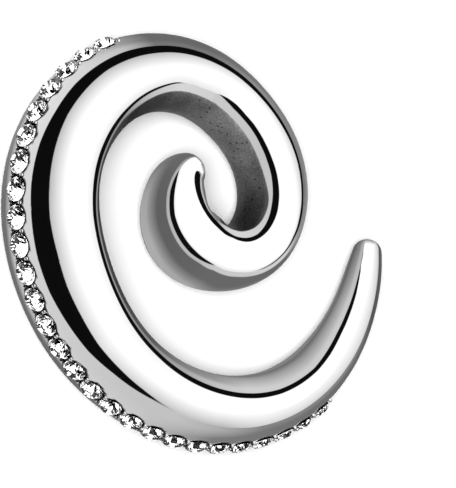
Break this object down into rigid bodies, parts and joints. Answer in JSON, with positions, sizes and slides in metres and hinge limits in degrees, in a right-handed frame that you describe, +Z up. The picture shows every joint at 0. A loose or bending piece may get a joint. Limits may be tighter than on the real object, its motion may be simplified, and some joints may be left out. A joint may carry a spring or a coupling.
{
  "type": "spiral ear taper",
  "caption": "Polished steel spiral ear taper, lying on its side, with a row of round cut clear stones set in its outer rim.",
  "frame": {"origin": "middle of the whole piece's footprint, on the surface that it lies on", "axes": "+Z up, along the spiral's axis to within three degrees; +X from the spiral's middle towards its thin end; seen from above the coil runs clockwise from the thin end inwards"},
  "size_m": [0.0392, 0.0356, 0.0088],
  "materials": {
    "polished_steel": "mirror polished, satin on the coil's inner wall",
    "clear_stone": "clear, cut and polished"
  },
  "bodies": {
    "root": {"spiral_body": "polished_steel", "stone_01": "clear_stone", "stone_02": "clear_stone", "stone_03": "clear_stone", "stone_04": "clear_stone", "stone_05": "clear_stone", "stone_06": "clear_stone", "stone_07": "clear_stone", "stone_08": "clear_stone", "stone_09": "clear_stone", "stone_10": "clear_stone", "stone_11": "clear_stone", "stone_12": "clear_stone", "stone_13": "clear_stone", "stone_14": "clear_stone", "stone_15": "clear_stone", "stone_16": "clear_stone", "stone_17": "clear_stone", "stone_18": "clear_stone", "stone_19": "clear_stone", "stone_20": "clear_stone", "stone_21": "clear_stone", "stone_22": "clear_stone", "stone_23": "clear_stone", "stone_24": "clear_stone", "stone_25": "clear_stone", "stone_26": "clear_stone", "stone_27": "clear_stone"}
  },
  "joints": []
}
